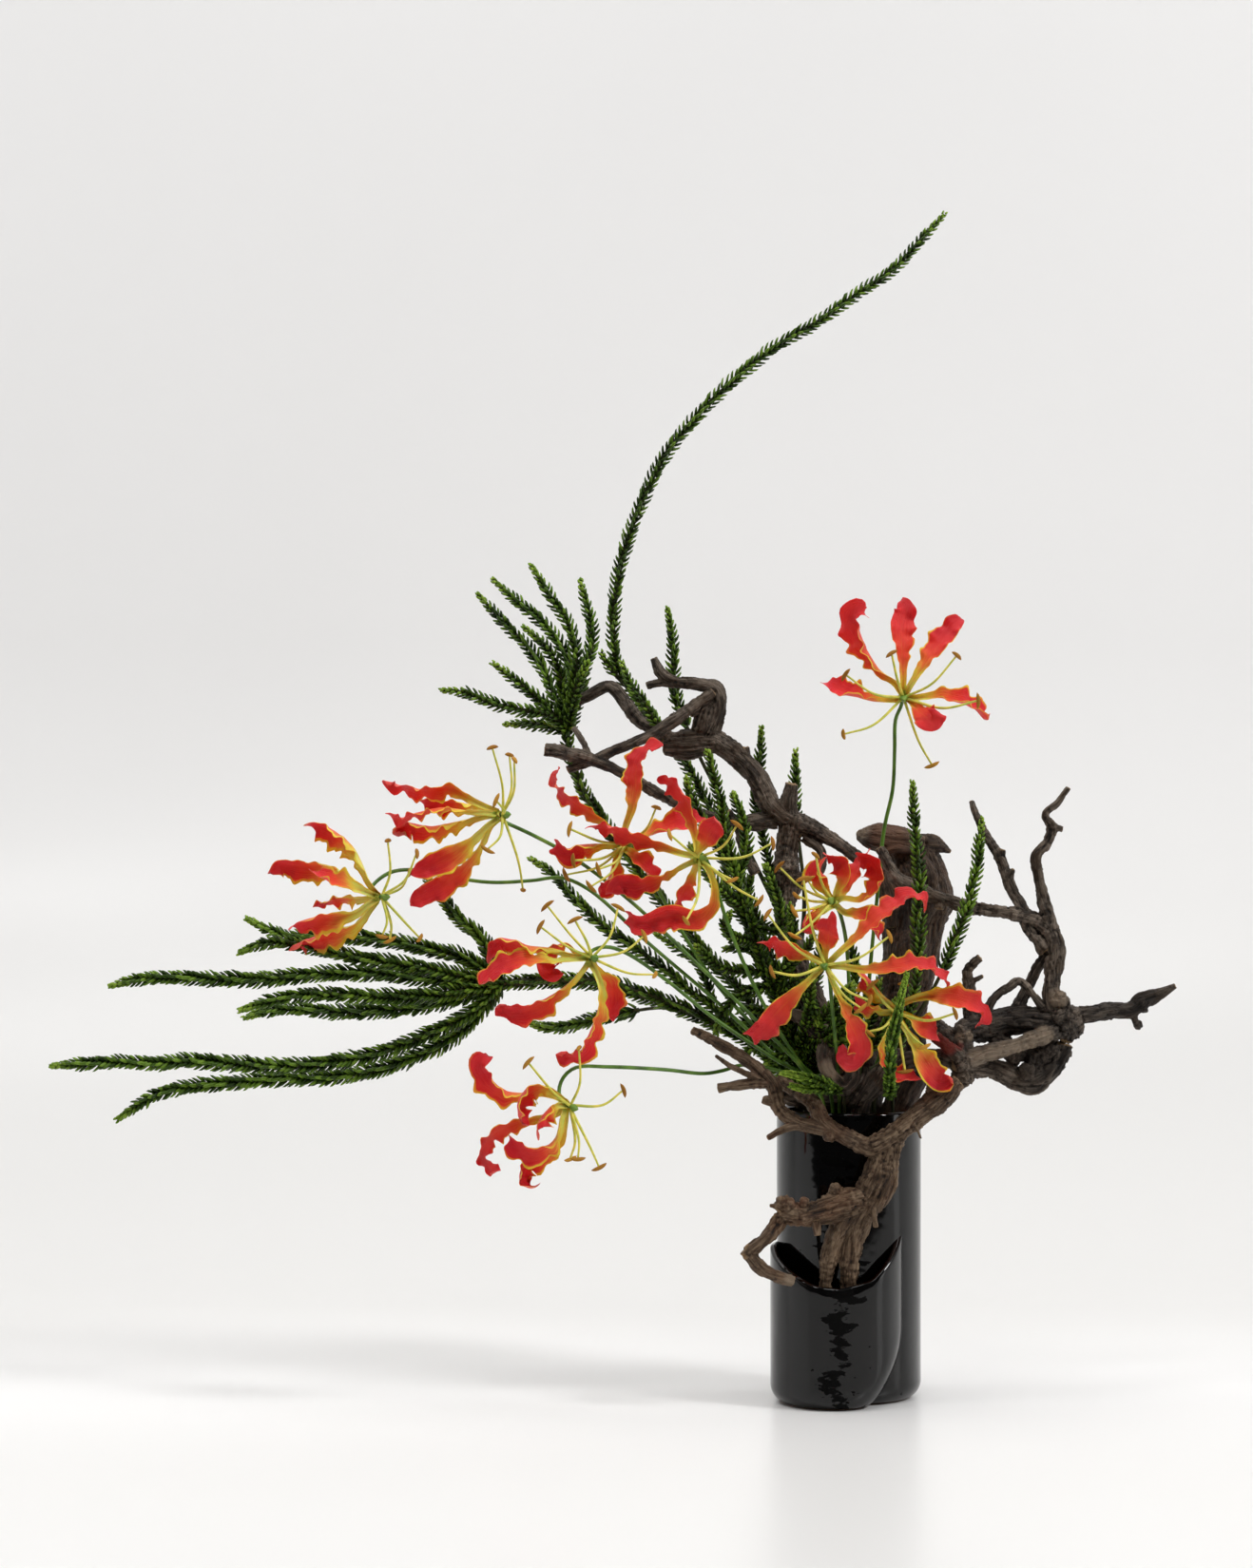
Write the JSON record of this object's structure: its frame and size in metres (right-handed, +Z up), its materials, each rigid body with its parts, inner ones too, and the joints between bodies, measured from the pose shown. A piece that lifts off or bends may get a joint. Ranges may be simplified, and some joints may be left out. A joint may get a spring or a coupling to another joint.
{
  "type": "ikebana arrangement",
  "caption": "Ikebana arrangement: a tall black vase with a lower front pocket holds weathered driftwood, sweeping needle-leaved shoots and flame lilies.",
  "frame": {"origin": "centre of the flat base of the vase's tall cylinder, on the surface that it stands on", "axes": "+Z up, +X to the right of the front view, -Y towards the front, where the vase's pocket is"},
  "size_m": [0.82, 0.2006, 0.8684],
  "materials": {
    "glaze": "gloss",
    "water": "gloss",
    "wood": "matte",
    "foliage": "satin",
    "petals": "satin",
    "stems": "satin"
  },
  "bodies": {
    "root": {"vase": "glaze", "water": "water", "mouth_prop": "wood", "driftwood_stump": "wood", "driftwood_arch": "wood", "driftwood_right": "wood", "driftwood_front": "wood", "foliage_left_fan": "foliage", "foliage_upper_fan": "foliage", "foliage_tall_shoot": "foliage", "foliage_low_shoot": "foliage", "foliage_centre_spray": "foliage", "foliage_back_spray": "foliage", "foliage_right_shoots": "foliage", "foliage_tuft_right": "foliage", "foliage_tuft_left": "foliage", "bloom_1_petals": "petals", "bloom_2_petals": "petals", "bloom_3_petals": "petals", "bloom_4_petals": "petals", "bloom_5_petals": "petals", "bloom_6_petals": "petals", "bloom_7_petals": "petals", "bloom_8_petals": "petals", "bloom_9_petals": "petals", "bloom_10_petals": "petals", "bloom_1_stem": "stems", "bloom_2_stem": "stems", "bloom_3_stem": "stems", "bloom_4_stem": "stems", "bloom_5_stem": "stems", "bloom_6_stem": "stems", "bloom_7_stem": "stems", "bloom_8_stem": "stems", "bloom_9_stem": "stems", "bloom_10_stem": "stems"}
  },
  "joints": []
}
